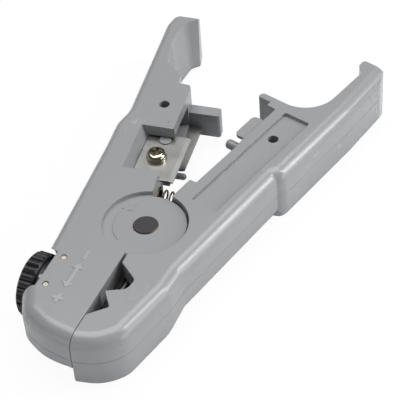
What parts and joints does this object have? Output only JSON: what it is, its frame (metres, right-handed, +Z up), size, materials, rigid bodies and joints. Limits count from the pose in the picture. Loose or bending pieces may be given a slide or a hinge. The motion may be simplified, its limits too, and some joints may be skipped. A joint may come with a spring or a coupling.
{
  "type": "cable jacket stripper",
  "caption": "Plier-shaped cable jacket stripper with flat cutting blades between sprung handles, notched jaws and a knurled knob that sets the jaw blade's depth.",
  "frame": {"origin": "on the pivot's axis, in the plane that the tool lies on", "axes": "+Y along the joint of the jaws towards the handles, +X towards the grip arm, +Z up along the pivot's axis"},
  "size_m": [0.0653, 0.1227, 0.0168],
  "materials": {
    "grey_abs": "satin",
    "black_nylon": "matt",
    "blade_steel": "ground",
    "nickel_steel": "plated",
    "dark_steel": "oxidised",
    "spring_steel": "drawn",
    "brass": "turned"
  },
  "bodies": {
    "blade_arm": {"blade_arm_upper": "grey_abs", "blade_arm_lower": "grey_abs", "blade_arm_screws": "dark_steel", "pivot_pin": "dark_steel", "upper_thrust_washer": "nickel_steel", "lower_thrust_washer": "nickel_steel", "return_spring": "spring_steel", "knob_retaining_pins": "nickel_steel", "upper_blade": "blade_steel", "upper_blade_washer": "nickel_steel", "upper_blade_screw": "nickel_steel", "lower_blade": "blade_steel", "lower_blade_washer": "nickel_steel", "lower_blade_screw": "nickel_steel"},
    "grip_arm": {"grip_arm_upper": "grey_abs", "grip_arm_lower": "grey_abs", "grip_arm_screws": "dark_steel", "pivot_bush": "brass"},
    "depth_knob": {"depth_knob": "black_nylon", "knob_spindle": "nickel_steel"},
    "carriage": {"blade_carriage": "black_nylon", "carriage_nut": "brass", "jaw_blade": "blade_steel", "jaw_blade_pins": "nickel_steel"}
  },
  "joints": [
    {"name": "grip_pivot", "type": "hinge", "parent": "blade_arm", "child": "grip_arm", "pos_m": [0, 0, 0], "axis": [0, 0, 1], "range_deg": [0, 23], "stiffness_Nm_per_rad": 0.08, "springref_deg": -22.92, "deforming": ["return_spring"]},
    {"name": "knob_turn", "type": "hinge", "parent": "blade_arm", "child": "depth_knob", "pos_m": [-0.0188, -0.0228, 0.00845], "axis": [1, 0, 0], "range_deg": [-600, 600]},
    {"name": "carriage_slide", "type": "slide", "parent": "blade_arm", "child": "carriage", "axis": [1, 0, 0], "range_m": [-0.0012, 0.0012]}
  ],
  "couplings": [
    {"joint": "carriage_slide", "follows": "knob_turn", "m_per_rad": -0.00011141}
  ]
}
